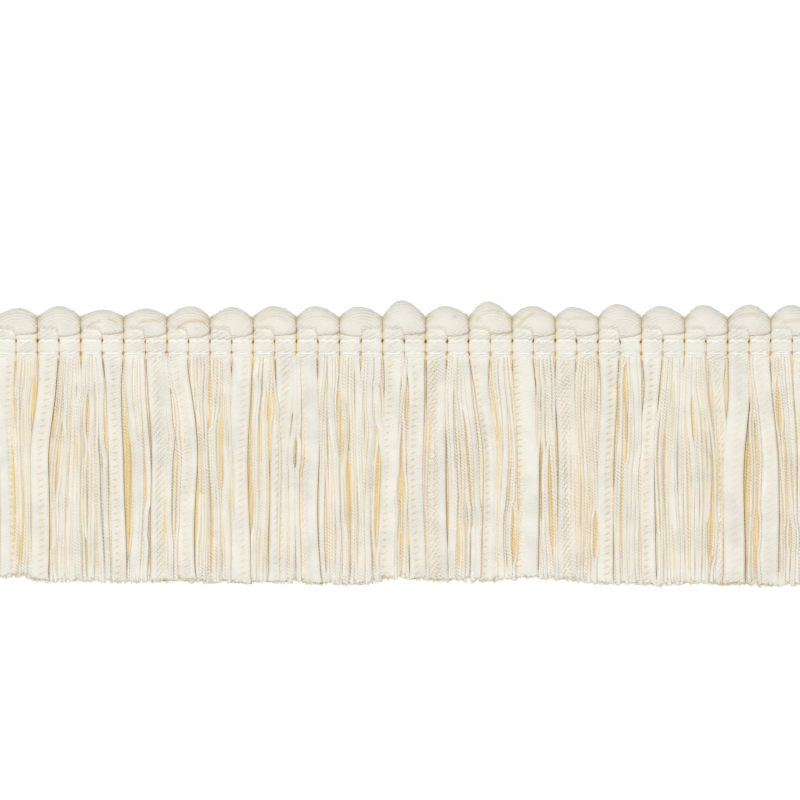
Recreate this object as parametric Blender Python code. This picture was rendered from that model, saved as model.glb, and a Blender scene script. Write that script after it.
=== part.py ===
"""Cut length of brush fringe trim, lying face up.

Bundles of knitted tape and twisted yarn are turned over at the top, one loop
beside the next, and held by two rows of lock stitch. Each bundle has two legs
under its loop, and its tapes and yarns hang from the legs to the cut line.

The trim lies flat on its back: +X runs along the heading, +Y points from the
cut line to the loops and +Z comes out of the face. Sizes are millimetres.
"""

import math
import random

import bmesh
import bpy
from mathutils import Matrix, Vector

MILLIMETRE = 0.001

# Heading
LOOP_COUNT = 21
LOOP_PITCH = 8.19
PIECE_GAP = 0.3
LEG_PITCH = LOOP_PITCH / 2
LEG_COUNT = 2 * LOOP_COUNT
LEG_WIDTH = LEG_PITCH - PIECE_GAP

# Drops are measured down from the centre of each loop's arch
UPPER_STITCH_DROP = 2.66
LOWER_STITCH_DROP = 5.04
LEG_END_DROP = 6.6
STITCHED_THICKNESS = 2.35
THREAD_DIAMETER = 0.38
THREAD_DIP = 0.5
THREAD_HOLD = 0.28 * LEG_PITCH

# Loops, left to right: height of the crown over the arch's centre and how far
# the crown leans along the heading
LOOP_COLUMNS = ("crown", "lean")
LOOPS = (
    (3.8, 0.2),
    (3.6, 0.4),
    (4.0, -0.2),
    (3.3, 0.0),
    (3.5, 0.0),
    (4.0, 0.4),
    (3.8, 0.0),
    (4.0, -0.3),
    (4.0, -0.7),
    (3.9, -0.6),
    (5.1, -0.6),
    (4.0, -0.5),
    (4.9, -0.5),
    (4.0, -0.3),
    (3.8, -0.8),
    (4.4, -0.5),
    (4.0, -0.5),
    (4.2, -0.6),
    (4.3, 0.2),
    (4.2, -0.1),
    (3.9, 0.3),
)
ARCH_ANGLES = (180, 150, 120, 90, 60, 30, 0)
ARCH_FULLNESS = 2.5
ARCH_ROUNDNESS = 2.4
ARCH_EYE_DROP = 0.6
ARCH_SIDE_THICKNESS = 4.0
ARCH_CROWN_THICKNESS = 4.7

# Sections down a leg; roundness 2 is an ellipse and more is boxier
LEG_COLUMNS = ("drop", "thickness", "roundness")
LEFT_LEG = (
    (0.75, 2.9, 2.6),
    (1.5, 3.25, 2.6),
    (UPPER_STITCH_DROP, STITCHED_THICKNESS, 3.0),
    (3.85, 3.0, 2.6),
    (LOWER_STITCH_DROP, STITCHED_THICKNESS, 3.0),
    (LEG_END_DROP, 3.05, 5.0),
)
RIGHT_LEG = (
    (1.3, 3.9, 2.6),
    (1.85, 2.7, 2.6),
    (UPPER_STITCH_DROP, STITCHED_THICKNESS, 3.0),
    (3.85, 3.0, 2.6),
    (LOWER_STITCH_DROP, STITCHED_THICKNESS, 3.0),
    (LEG_END_DROP, 3.05, 5.0),
)
SIDE_HEIGHT = 0.35
BACK_WIDTH = 0.8
FACE_ANGLES = (0, 50, 90, 130, 180)

# Fringe: one tape and five yarns hang from each leg, in three layers
TAPE_WIDTH = 3.5
TAPE_THICKNESS = 0.85
YARN_WIDTH = 0.74
YARN_THICKNESS = 0.74
ROOT_DEPTH = 0.6
ROOT_SPREAD = 0.86
SPREAD_DROP = 11.0
MIDDLE_DROP = 29.0
LEAN_CURVE = 1.3
STRAND_SHOULDER = 0.86
LAYER_COLUMNS = ("root_height", "height", "follows_lean", "lift")
LAYERS = {
    "back": (0.3, 0.0, 0.0, 0.0),
    "middle": (1.08, 1.15, 0.4, 0.0),
    "front": (1.85, 2.2, 1.0, 0.3),
}

# Legs whose tape lies in front, and how far its cut end leans along +X
FRONT_TAPES = {
    0: 0.2,
    2: 0.0,
    4: -0.9,
    7: 0.6,
    9: 0.5,
    10: 1.2,
    13: -0.3,
    15: -0.6,
    16: 0.5,
    20: -0.4,
    21: 0.2,
    22: 0.2,
    24: 1.1,
    26: 0.5,
    28: 0.6,
    30: -0.2,
    32: -0.5,
    35: 0.0,
    36: 0.1,
    37: 0.9,
    40: 0.2,
}

# Cut line: distance along the trim from its left end, and the drop there
CUT_LINE = (
    (0.0, 47.6),
    (14.0, 46.9),
    (19.0, 48.0),
    (68.0, 48.2),
    (80.0, 48.7),
    (83.0, 47.3),
    (91.0, 47.3),
    (96.0, 48.4),
    (103.0, 47.2),
    (116.0, 47.4),
    (119.0, 48.3),
    (136.0, 48.9),
    (147.0, 48.1),
    (149.0, 49.0),
    (172.0, 48.4),
)
CUT_UNEVENNESS = 0.5
YARN_WAVER = 0.05

random_source = random.Random(21)


def row(columns, values):
    """Return one table row as a dictionary."""
    return dict(zip(columns, values))


def interpolate(table, position):
    """Return the value of a sorted (position, value) table at a position."""
    if position <= table[0][0]:
        return table[0][1]
    for (before, low), (after, high) in zip(table, table[1:]):
        if position <= after:
            share = (position - before) / (after - before)
            return low + share * (high - low)
    return table[-1][1]


def lean_field():
    """Return the front layer's lean as a table along X, level over each tape."""
    table = []
    for leg, lean in sorted(FRONT_TAPES.items()):
        table.append((leg_centre(leg) - LEG_PITCH / 2, lean))
        table.append((leg_centre(leg) + LEG_PITCH / 2, lean))
    return table


def leg_centre(leg):
    """Return the X of a leg's centre line; legs count from the left end."""
    return (leg + 0.5 - LEG_COUNT / 2) * LEG_PITCH


def cream(red, green, blue):
    """Return an 8-bit display colour as the linear colour a shader takes."""
    def linear(value):
        share = value / 255
        if share <= 0.04045:
            return share / 12.92
        return ((share + 0.055) / 1.055) ** 2.4

    return (linear(red), linear(green), linear(blue), 1.0)


def make_material(name, colour, roughness):
    """Return a matt textile material."""
    material = bpy.data.materials.new(name)
    material.use_nodes = True
    material.diffuse_color = colour
    shader = material.node_tree.nodes["Principled BSDF"]
    shader.inputs["Base Color"].default_value = colour
    shader.inputs["Roughness"].default_value = roughness
    shader.inputs["Metallic"].default_value = 0.0
    return material


def add_loft(mesh, rings, smooth):
    """Add a closed tube through rings that hold the same number of points."""
    loops = [[mesh.verts.new(Vector(point) * MILLIMETRE) for point in ring] for ring in rings]
    faces = [mesh.faces.new(loops[0]), mesh.faces.new(list(reversed(loops[-1])))]
    for near, far in zip(loops, loops[1:]):
        for index in range(len(near)):
            after = (index + 1) % len(near)
            side = mesh.faces.new((near[index], far[index], far[after], near[after]))
            side.smooth = smooth
            faces.append(side)
    bmesh.ops.recalc_face_normals(mesh, faces=faces)


def make_object(name, mesh, material):
    """Turn a filled bmesh into a named object in the scene."""
    data = bpy.data.meshes.new(name)
    mesh.to_mesh(data)
    mesh.free()
    data.materials.append(material)
    made = bpy.data.objects.new(name, data)
    bpy.context.scene.collection.objects.link(made)
    return made


def section_outline(thickness, roundness):
    """Return (across, height) points of a flat-backed section; across is -1 to 1."""
    side = SIDE_HEIGHT * thickness
    points = [(-BACK_WIDTH, 0.0), (BACK_WIDTH, 0.0)]
    for angle in FACE_ANGLES:
        cosine = math.cos(math.radians(angle))
        sine = math.sin(math.radians(angle))
        across = math.copysign(abs(cosine) ** (2 / roundness), cosine)
        if abs(cosine) < 1e-6:
            across = 0.0
        rise = max(sine, 0.0) ** (2 / roundness)
        points.append((across, side + rise * (thickness - side)))
    return points


def bundle_rings(centre, loop):
    """Return the sections of one turned bundle, from leg to loop to leg."""
    inner = PIECE_GAP / 2
    outer = inner + LEG_WIDTH

    def leg_ring(side, station):
        middle = centre + side * (inner + outer) / 2
        outline = section_outline(station["thickness"], station["roundness"])
        return [
            (middle + side * across * LEG_WIDTH / 2, -station["drop"], height)
            for across, height in outline
        ]

    def arch_ring(angle):
        cosine = math.cos(math.radians(angle))
        sine = math.sin(math.radians(angle))
        reach = (
            abs(cosine / outer) ** ARCH_FULLNESS
            + abs(sine / loop["crown"]) ** ARCH_FULLNESS
        ) ** (-1 / ARCH_FULLNESS)
        swell = ARCH_CROWN_THICKNESS - ARCH_SIDE_THICKNESS
        thickness = ARCH_SIDE_THICKNESS + swell * sine
        ring = []
        for across, height in section_outline(thickness, ARCH_ROUNDNESS):
            share = (across + 1) / 2
            radius = inner + share * (reach - inner)
            ring.append((
                centre + radius * cosine + loop["lean"] * sine * share,
                radius * sine - ARCH_EYE_DROP * (1 - share),
                height,
            ))
        return ring

    left = [leg_ring(-1, row(LEG_COLUMNS, station)) for station in reversed(LEFT_LEG)]
    arch = [arch_ring(angle) for angle in ARCH_ANGLES]
    right = [leg_ring(1, row(LEG_COLUMNS, station)) for station in RIGHT_LEG]
    return left + arch + right


def leg_strands(leg):
    """Return (layer, offset across the leg, width, thickness) for a leg's strands."""
    if leg in FRONT_TAPES:
        tape_layer = "front"
        yarns = (("middle", 2), ("back", 3))
    else:
        tape_layer = "back"
        yarns = (("front", 4), ("middle", 1))
    strands = [(tape_layer, 0.0, TAPE_WIDTH, TAPE_THICKNESS)]
    for layer, count in yarns:
        for index in range(count):
            offset = (index + 0.5) / count - 0.5
            strands.append((layer, offset * LEG_PITCH, YARN_WIDTH, YARN_THICKNESS))
    return strands


def strand_rings(leg, layer_name, offset, width, thickness):
    """Return the sections of one strand, from inside its leg to the cut line."""
    layer = row(LAYER_COLUMNS, LAYERS[layer_name])
    leans = lean_field()
    centre = leg_centre(leg)
    start = centre + offset
    lean = interpolate(leans, start) * layer["follows_lean"]
    before = interpolate(leans, start - width / 2)
    after = interpolate(leans, start + width / 2)
    crowding = (after - before) / width * layer["follows_lean"]
    waver = random_source.uniform(-YARN_WAVER, YARN_WAVER)
    lift = random_source.uniform(0, layer["lift"])
    trim_left = -LEG_COUNT / 2 * LEG_PITCH
    cut = interpolate(CUT_LINE, start + lean - trim_left)
    cut += random_source.uniform(-CUT_UNEVENNESS, CUT_UNEVENNESS)

    root_width = width * ROOT_SPREAD
    root_thickness = thickness * ROOT_SPREAD
    rings = [box_ring(
        centre + offset * ROOT_SPREAD,
        LEG_END_DROP - ROOT_DEPTH,
        layer["root_height"],
        root_width,
        root_thickness,
    )]
    for drop, side_step, raised in (
        (SPREAD_DROP, 0.0, 0.0),
        (MIDDLE_DROP, waver, lift / 2),
        (cut, 0.0, lift),
    ):
        share = (drop - LEG_END_DROP) / (cut - LEG_END_DROP)
        narrowed = width * min(1.0, 1.0 + crowding * share)
        rings.append(box_ring(
            start + lean * share ** LEAN_CURVE + side_step,
            drop,
            layer["height"] + raised,
            narrowed,
            thickness,
        ))
    return rings


def box_ring(centre, drop, height, width, thickness):
    """Return a four-sided section that is flat underneath."""
    half = width / 2
    shoulder = half * STRAND_SHOULDER
    return [
        (centre - half, -drop, height),
        (centre + half, -drop, height),
        (centre + shoulder, -drop, height + thickness),
        (centre - shoulder, -drop, height + thickness),
    ]


def join(base, addition):
    """Fuse one object into another and remove it."""
    union = base.modifiers.new("Fuse roots", "BOOLEAN")
    union.operation = "UNION"
    union.solver = "EXACT"
    union.object = addition
    graph = bpy.context.evaluated_depsgraph_get()
    fused = bpy.data.meshes.new_from_object(base.evaluated_get(graph))
    base.modifiers.remove(union)
    base.data = fused
    bpy.data.objects.remove(addition)


def place_at(piece, along):
    """Move a piece's origin along the trim without moving its surface."""
    offset = Vector((along, 0.0, 0.0)) * MILLIMETRE
    piece.data.transform(Matrix.Translation(-offset))
    piece.location = offset


def make_bundle(number, loop, material):
    """Build one turned bundle with its loop, two legs and their strands."""
    centre = (number + 0.5 - LOOP_COUNT / 2) * LOOP_PITCH
    body = bmesh.new()
    add_loft(body, bundle_rings(centre, loop), smooth=True)
    bundle = make_object(f"turned_bundle_{number + 1:02d}", body, material)
    strands = bmesh.new()
    for leg in (2 * number, 2 * number + 1):
        for strand in leg_strands(leg):
            add_loft(strands, strand_rings(leg, *strand), smooth=False)
    join(bundle, make_object("strands", strands, material))
    place_at(bundle, centre)
    return bundle


def make_stitch_row(name, drop, material):
    """Build one sewing thread that lies over every leg and dips between legs."""
    radius = THREAD_DIAMETER / 2
    over = STITCHED_THICKNESS + PIECE_GAP + radius
    dip = over - THREAD_DIP
    path = []
    for leg in range(LEG_COUNT):
        centre = leg_centre(leg)
        path.append((centre - THREAD_HOLD, over))
        path.append((centre + THREAD_HOLD, over))
        if leg < LEG_COUNT - 1:
            path.append((centre + LEG_PITCH / 2, dip))
    rings = []
    for along, height in path:
        rings.append([
            (along, -drop - radius, height),
            (along, -drop, height - radius),
            (along, -drop + radius, height),
            (along, -drop, height + radius),
        ])
    mesh = bmesh.new()
    add_loft(mesh, rings, smooth=True)
    return make_object(name, mesh, material)


def gather(name, pieces):
    """Parent the pieces to an empty that puts the trim's middle over the origin."""
    corners = [piece.location + vertex.co for piece in pieces for vertex in piece.data.vertices]
    across = [corner.x for corner in corners]
    down = [corner.y for corner in corners]
    trim = bpy.data.objects.new(name, None)
    bpy.context.scene.collection.objects.link(trim)
    trim.location = (-(min(across) + max(across)) / 2, -(min(down) + max(down)) / 2, 0.0)
    for piece in pieces:
        piece.parent = trim


def main():
    for leftover in list(bpy.data.objects):
        bpy.data.objects.remove(leftover)

    yarn = make_material("cream_cotton_yarn", cream(232, 225, 207), 0.9)
    thread = make_material("white_sewing_thread", cream(244, 242, 234), 0.6)

    pieces = []
    for number, loop in enumerate(LOOPS):
        pieces.append(make_bundle(number, row(LOOP_COLUMNS, loop), yarn))
    pieces.append(make_stitch_row("lock_stitch_upper", UPPER_STITCH_DROP, thread))
    pieces.append(make_stitch_row("lock_stitch_lower", LOWER_STITCH_DROP, thread))
    gather("brush_fringe_trim", pieces)


main()
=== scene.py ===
"""Looks of the brush fringe trim: turned loops, stitched legs, knit tapes and yarns.

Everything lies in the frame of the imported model, in metres. The trim is face up:
+X runs along the heading, +Y points to the loops and +Z comes out of the face.
"Drop" is the distance below the centre line of the loops' arches.
"""

import math
import random

import bpy
import numpy as np
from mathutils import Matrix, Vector


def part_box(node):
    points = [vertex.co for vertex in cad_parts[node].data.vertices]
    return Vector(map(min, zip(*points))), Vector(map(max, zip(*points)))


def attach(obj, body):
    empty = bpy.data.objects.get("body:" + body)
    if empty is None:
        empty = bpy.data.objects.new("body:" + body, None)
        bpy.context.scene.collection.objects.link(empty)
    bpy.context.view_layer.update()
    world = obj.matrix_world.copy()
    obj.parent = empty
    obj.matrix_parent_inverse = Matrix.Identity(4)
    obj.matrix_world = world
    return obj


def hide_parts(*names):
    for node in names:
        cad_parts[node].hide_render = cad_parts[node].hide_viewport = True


MM = 0.001
TURN = 2 * math.pi

# Heading, as in the part's source
LOOP_COUNT = 21
LOOP_PITCH = 8.19 * MM
LEG_PITCH = LOOP_PITCH / 2
UPPER_STITCH_DROP = 2.66 * MM
LOWER_STITCH_DROP = 5.04 * MM

# The photograph shows 152 mm of the trim over 800 pixels
PIXEL = LOOP_PITCH / 43.12
PHOTO_CENTRE_PX = 400
MIDDLE_LOOP_PX = 404.1
ARCH_LINE_PX = 327
PHOTO_SIDE = 800 * PIXEL
CAMERA_HEIGHT = 0.9
CAMERA_CLIP = (0.01, 10)
SENSOR = 36.0

# Domes of the loops
DOME_HALF_WIDTH = 4.09 * MM
SMILE_HALF_WIDTH = 4.5 * MM
DOME_HEIGHT = 4.3 * MM
DOME_SHOULDER = 1.75 * MM
DOME_ROUNDNESS = 1.8
DOME_COLUMNS = 92
DOME_ROWS = 30
SMILE_FULLNESS = 2.6
OUTLINE_SHARPNESS = 40.0
CREASE_DEPTH = 0.16 * MM
CREASE_HALF_WIDTH = 0.34 * MM

# The yarns of a loop turn round a point under its eye
TURN_X = 0.3 * MM
TURN_Y = -3.2 * MM
TURN_PITCH = 0.55 * MM

# Legs of the heading. The front leg of a loop ends in a round tongue over the dome,
# and the other leg goes in under the dome.
LEG_HALF_WIDTH = 2.045 * MM
LEG_THICKNESS = 3.35 * MM
LEG_PINCH = 0.4 * MM
LEG_SIDE_SHARE = 0.91
HOLE_HALF_WIDTH = 0.22 * MM
PINCH_SPREAD = 0.42 * MM
HOLE_SPREAD = 0.3 * MM
FRONT_LEG_TOP = 0.05 * MM
TUCKED_LEG_TOP = 0.2 * MM
LEG_BOTTOM = 9.0 * MM
LEG_SINK = 1.3 * MM
LEG_SINK_LENGTH = 3.2 * MM
UNDERSIDE_LIFT = 0.95 * MM
TONGUE_LENGTH = 1.5 * MM
LEG_FINE_END = 5.8 * MM
LEG_FINE_ROWS = 50
LEG_COARSE_START = 6.2 * MM
LEG_COARSE_ROWS = 7
RIGHT_LEG_IN_FRONT = (9,)

# Fringe
FRINGE_TOP = 4.9 * MM
CUT_JITTER = 0.5 * MM
ROOT_DROP = 0.12 * MM
FRONT_HEIGHT = 2.55 * MM
SECOND_HEIGHT = 2.48 * MM
UNDER_TAPE_HEIGHT = 2.1 * MM
THIRD_HEIGHT = 2.16 * MM
BACK_HEIGHT = 0.55 * MM
PARTED_ABOVE = SECOND_HEIGHT - 0.2 * MM
HIDDEN_BELOW = SECOND_HEIGHT - 0.12 * MM
THIRD_LAYER_TOP = UNDER_TAPE_HEIGHT + 0.2 * MM
BACK_LAYER_TOP = BACK_HEIGHT + 0.5 * MM
YARN_RADIUS = (0.33 * MM, 0.41 * MM)
YARN_SETTLING = {"third": -0.8 * MM, "back": 0.5 * MM}
SETTLING_SHARE = 0.85
EDGE_YARN_HEIGHT = 2.32 * MM
HIDDEN_YARN_SCALE = 1.25
YARN_FLATNESS = 0.55
YARN_SIDES = 6
YARN_ROWS = {"back": 16, "third": 24, "front": 34}
PLY_LENGTH = 1.15 * MM
TAPE_THICKNESS = 0.7 * MM
BAND_THICKNESS = 0.5 * MM
BAND_ROWS = 60
BAND_SIDES = 12
# Backing tapes: height, width, thickness and painted shade
BACKING_TAPE = (0.48 * MM, 3.9 * MM, 0.85 * MM, 0.7)
TAPE_ROOT_DROP = 0.28 * MM
TAPE_STEP = 0.22 * MM
TAPE_END_LENGTH = 0.9 * MM
TAPE_FACE_POINTS = 20
TAPE_BACK_POINTS = 4
LADDER_DEPTH = 0.16 * MM
LADDER_RIB = 0.09 * MM
FLAT_RIB = 0.04 * MM
PIT_DEPTH = 0.32 * MM
RIB_LENGTH = 0.635 * MM
WALE_WIDTH = 0.32 * MM
DRIFT_SHARE = 0.5
GATHER_SHARE = 0.14
HIDDEN_GATHER_SHARE = 0.02
GATHER_LENGTH = 5.5 * MM
FRONT_YARN_PITCH = 0.58 * MM
YARN_DRIFT = 0.7 * MM
YARN_WANDER = 0.15 * MM
NARROW_TAPE_SHARE = 0.2
DEEP_SHADE = 0.35
FRONT_SHADE = 0.02
FLOOR_CLEARANCE = 0.02 * MM

# Layers behind the front: height, yarns a leg, painted shade, and how much they drift. The hidden
# layers carry more painted shade, golden where they show between the front strands.
UNDER_YARN_LAYERS = (
    (SECOND_HEIGHT, 7, 0.12, 0.9),
    (THIRD_HEIGHT, 8, 0.5, 0.3),
    (BACK_HEIGHT, 5, 0.5, 0.0),
)
UNDER_TAPE_LAYERS = (
    (SECOND_HEIGHT - 0.25 * MM, 7, 0.2, 0.9),
    (UNDER_TAPE_HEIGHT, 7, 0.5, 0.3),
    (BACK_HEIGHT, 6, 0.5, 0.0),
)

THREAD_RADIUS = 0.2 * MM
THREAD_SIDES = 8
THREAD_DIVE = 0.9 * MM
THREAD_LAY_LENGTH = 0.9 * MM
ROWS_A_STATION = 6

# Loose fibres: how many stand at each kind of cut end, and on each loop
YARN_FIBRES = 7
DEEP_YARN_FIBRES = 3
BAND_FIBRES = 16
TAPE_FIBRES = 60
STRAY_FIBRES = 70
FIBRE_RADIUS = 0.045 * MM
TAPE_FIBRE_RADIUS = 0.09 * MM
STRAY_RADIUS = 0.022 * MM
FIBRE_CLEARANCE = 0.05 * MM
FIBRE_ANGLES = np.arange(3) / 3 * TURN

# Tapes that lie in front, in millimetres and degrees. Lean is how far the lower
# half lies along +X from its leg, column is the ladder's place across the tape,
# depth is how strong its pits are, and rise lifts it over a neighbour.
TAPE_COLUMNS = ("leg", "lean", "width", "column", "slant", "depth", "tilt", "rise")
FRONT_TAPES = (
    (0, 0.3, 3.8, 0.4, 0.5, 0.6, 4, 0.0),
    (2, 0.7, 3.9, 0.9, 0.2, 1.0, -4, 0.0),
    (4, -1.9, 3.7, 0.4, 0.4, 0.8, 6, 0.1),
    (7, 0.9, 3.1, 0.0, 0.3, 0.9, 5, 0.0),
    (9, 0.7, 3.8, 0.1, 1.2, 0.7, -5, 0.0),
    (10, 1.8, 3.6, -0.1, 0.3, 0.5, 6, 0.1),
    (13, -0.6, 4.1, 0.8, 0.5, 0.6, 4, 0.0),
    (15, -1.0, 3.8, 0.2, 1.0, 1.0, -8, 0.0),
    (16, 0.8, 3.7, -1.0, 0.8, 0.4, 5, 0.1),
    (20, -0.7, 3.3, -0.5, 0.3, 0.9, 4, 0.0),
    (21, 0.3, 3.3, -0.1, 0.4, 0.8, -6, 0.0),
    (22, 0.1, 3.9, -0.4, 1.4, 1.1, 3, 0.0),
    (24, 2.0, 2.9, -0.5, 0.3, 0.9, -10, 0.0),
    (26, 0.9, 4.5, -1.4, 0.2, 1.2, 5, 0.1),
    (28, 0.2, 4.1, 0.1, 1.5, 1.2, -4, 0.0),
    (30, -0.5, 3.3, 0.6, 0.5, 1.2, 5, 0.0),
    (32, -0.6, 3.0, 0.0, 0.4, 1.1, 5, 0.0),
    (35, 0.7, 2.5, 0.3, 1.6, 1.1, 20, -0.2),
    (36, -0.7, 4.3, 0.5, 0.6, 0.35, -2, 0.15),
    (37, 1.6, 4.0, 0.2, 0.5, 0.3, 3, 0.1),
    (40, 0.2, 3.7, 0.2, 0.5, 0.8, 4, 0.0),
)

# Faint lines on the domes, where an inner turn shows: a shallow dent with painted shade along it.
# The centre is measured from the loop's eye, start and end are angles, and depth is how strong
# the line is.
CREASE_COLUMNS = ("loop", "x", "y", "radius", "start", "end", "depth")
DOME_CREASES = (
    (0, 0.4, -3.0, 5.8, 118, 66, 0.5),
    (3, 0.2, -2.5, 3.7, 145, 92, 0.8),
    (3, 0.2, -2.5, 4.2, 80, 40, 0.6),
    (4, 1.5, -6.3, 7.6, 114, 72, 0.8),
    (5, 1.4, -3.4, 4.6, 148, 58, 1.0),
    (5, 1.2, -6.0, 5.7, 96, 74, 0.4),
    (7, -0.2, -1.1, 3.3, 150, 30, 0.4),
    (8, 0.4, -8.2, 10.3, 106, 76, 0.4),
    (9, 0.6, -8.2, 10.1, 100, 76, 0.3),
    (11, 1.3, -4.0, 5.9, 96, 80, 0.7),
    (12, 0.4, -0.2, 3.3, 165, 62, 0.5),
    (13, 2.0, -2.5, 5.5, 158, 105, 0.8),
    (14, 0.4, -4.4, 6.2, 118, 64, 0.5),
    (18, 0.0, -3.4, 5.9, 116, 66, 0.6),
    (19, 0.4, -3.4, 4.7, 130, 70, 0.6),
)

# Places where the strands part and the layer below shows, as pixels of the
# photograph: across at the top and at the foot, first and last down, half width
SLITS = (
    (31, 36, 379, 433, 0.9),
    (43, 43, 375, 394, 1.6),
    (50, 48, 500, 555, 2.4),
    (65, 53, 420, 500, 0.8),
    (74, 78, 380, 404, 0.8),
    (86, 89, 393, 445, 1.3),
    (90, 85, 446, 540, 1.0),
    (115, 106, 385, 460, 1.7),
    (128, 130, 421, 562, 1.5),
    (152, 150, 500, 547, 1.0),
    (167, 175, 385, 435, 1.2),
    (176, 176, 431, 550, 1.5),
    (196, 197, 456, 550, 0.9),
    (208, 212, 368, 425, 1.0),
    (223, 224, 408, 496, 1.5),
    (249, 254, 375, 415, 1.2),
    (251, 250, 483, 540, 0.9),
    (270, 270, 395, 425, 1.0),
    (287, 286, 411, 435, 1.3),
    (294, 297, 436, 470, 0.8),
    (336, 345, 380, 455, 1.4),
    (346, 350, 452, 540, 1.0),
    (381, 378, 375, 425, 1.2),
    (378, 377, 430, 562, 1.6),
    (399, 400, 472, 507, 1.0),
    (405, 406, 390, 425, 0.8),
    (422, 416, 504, 557, 1.5),
    (466, 470, 502, 532, 1.1),
    (511, 516, 502, 560, 1.7),
    (530, 535, 375, 399, 0.9),
    (539, 543, 430, 538, 1.5),
    (547, 553, 446, 562, 1.3),
    (595, 595, 505, 562, 1.8),
    (622, 630, 360, 460, 0.8),
    (637, 646, 456, 512, 1.4),
    (693, 693, 390, 450, 1.5),
    (711, 715, 508, 562, 1.4),
    (740, 747, 375, 420, 1.4),
    (747, 749, 430, 562, 1.8),
    (758, 758, 508, 552, 0.9),
    (775, 781, 380, 435, 1.3),
    (791, 792, 520, 552, 0.9),
)
SLIT_REACH = 2.4 * MM
SLIT_SHARE = 0.7
SLIT_MOST = 0.5 * MM
SLIT_STEEPNESS = 0.04

rng = random.Random(7)


def srgb(red, green, blue):
    """Return an 8-bit display colour as a linear RGBA value."""
    def linear(value):
        share = value / 255
        if share <= 0.04045:
            return share / 12.92
        return ((share + 0.055) / 1.055) ** 2.4

    return (linear(red), linear(green), linear(blue), 1.0)


CREAM = srgb(248, 244, 232)
LOOP_CREAM = srgb(244, 240, 229)
LEG_CREAM = srgb(245, 242, 232)
TAPE_CREAM = srgb(248, 245, 236)
YARN_CREAM = srgb(248, 245, 235)
# Painted shade colours: ochre between and beside strands, tan and golden brown in the domes'
# creases and where they meet, soft ochre in the tapes' pits and along their edges, brown in the
# pinholes and the dimmest grooves.
OCHRE = srgb(241, 211, 143)
TAN = srgb(220, 204, 166)
SOFT_OCHRE = srgb(229, 210, 166)
BROWN = srgb(150, 112, 70)
GOLDEN_BROWN = srgb(196, 156, 98)
THREAD_WHITE = srgb(254, 253, 251)
FLOOR_WHITE = srgb(250, 250, 250)
FLOOR_GLOW = 0.25
FLOOR_HALF = 1.5
SURROUND_STRENGTH = 0.19

# Noise patterns in the cotton: scale, detail and roughness
FIBRE_NOISE = (5200.0, 3.0, 0.6)
PATCH_NOISE = (420.0, 2.0, 0.5)
WORN_NOISE = (230.0, 1.0, 0.5)

# Soft lights: name, place, size and power
LIGHTS = (
    ("key", (0.0, 0.0, 1.2), 0.3, 9.95),
    ("side", (-0.6, 0.1, 0.95), 0.4, 1.5),
)


def smooth_step(value):
    """Ease a value from 0 to 1, level outside that range."""
    share = np.clip(value, 0.0, 1.0)
    return share * share * (3 - 2 * share)


def add_object(name, data):
    """Put an object with its data into the scene."""
    made = bpy.data.objects.new(name, data)
    bpy.context.scene.collection.objects.link(made)
    return made


class Surface:
    """Gathers tubes for one mesh, with each point's lay: along, around, and painted shade."""

    def __init__(self):
        self.points = []
        self.lay = []
        self.faces = []
        self.count = 0

    def add_tube(self, rings, along=0.0, around=0.0, shade=0.0):
        """Add a closed tube of rows x points x 3, with the lay of its points."""
        rows, sides = rings.shape[:2]
        lay = np.empty(rings.shape)
        for part, value in enumerate((along, around, shade)):
            lay[:, :, part] = value
        self.points.append(rings.reshape(-1, 3))
        self.lay.append(lay.reshape(-1, 3))
        index = self.count + np.arange(rows * sides).reshape(rows, sides)
        self.count += rows * sides
        near = index[:-1]
        far = index[1:]
        quads = np.stack((near, np.roll(near, -1, 1), np.roll(far, -1, 1), far), axis=-1)
        self.faces.extend(quads.reshape(-1, 4).tolist())
        self.faces.append(index[0, ::-1].tolist())
        self.faces.append(index[-1].tolist())

    def build(self, name, material):
        """Make the mesh object, shaded smooth."""
        data = bpy.data.meshes.new(name)
        data.from_pydata(np.concatenate(self.points).tolist(), [], self.faces)
        data.materials.append(material)
        lay = data.attributes.new("lay", "FLOAT_VECTOR", "POINT")
        lay.data.foreach_set("vector", np.concatenate(self.lay).ravel())
        data.shade_smooth()
        data.update()
        return add_object(name, data)


def sweep(path, across, height, offset):
    """Return rings that carry a flat profile along a path that runs down -Y.

    path is rows x 3, across and height are the frame's unit vectors per row, and
    offset is rows x points x 2: how far each point lies along them.
    """
    return (
        path[:, None, :]
        + offset[:, :, 0:1] * across[:, None, :]
        + offset[:, :, 1:2] * height[:, None, :]
    )


def path_frame(path, roll):
    """Return unit vectors across and out of a path, rolled about it by angles."""
    along = np.gradient(path, axis=0)
    along /= np.linalg.norm(along, axis=1, keepdims=True)
    out = np.array((0.0, 0.0, 1.0)) - along * along[:, 2:3]
    out /= np.linalg.norm(out, axis=1, keepdims=True)
    side = np.cross(out, along)
    cosine = np.cos(roll)[:, None]
    sine = np.sin(roll)[:, None]
    return side * cosine + out * sine, out * cosine - side * sine


def round_offsets(sides, radius):
    """Return offsets of a round profile with a radius a row, seam underneath."""
    angle = np.arange(sides) / sides * TURN - math.pi / 2
    ring = np.stack((np.cos(angle), np.sin(angle)), axis=-1)
    return ring * radius[:, None, None]


def sway(x, drop):
    """Return how far the strands at a place lean aside together."""
    slow = np.sin(x / (3.4 * MM) + drop / (8.5 * MM)) * 0.24 * MM
    quick = np.sin(x / (1.9 * MM) - drop / (5.6 * MM) + 2.0) * 0.15 * MM
    return (slow + quick) * smooth_step((drop - FRINGE_TOP) / (9 * MM))


def wander(share, strength):
    """Return a slow seeded wave along a strand, still at its top."""
    turns = rng.uniform(0.5, 1.6)
    phase = rng.uniform(0, TURN)
    wave = np.sin(share * turns * TURN + phase) - math.sin(phase)
    return wave * strength * smooth_step(share * 3)


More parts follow.
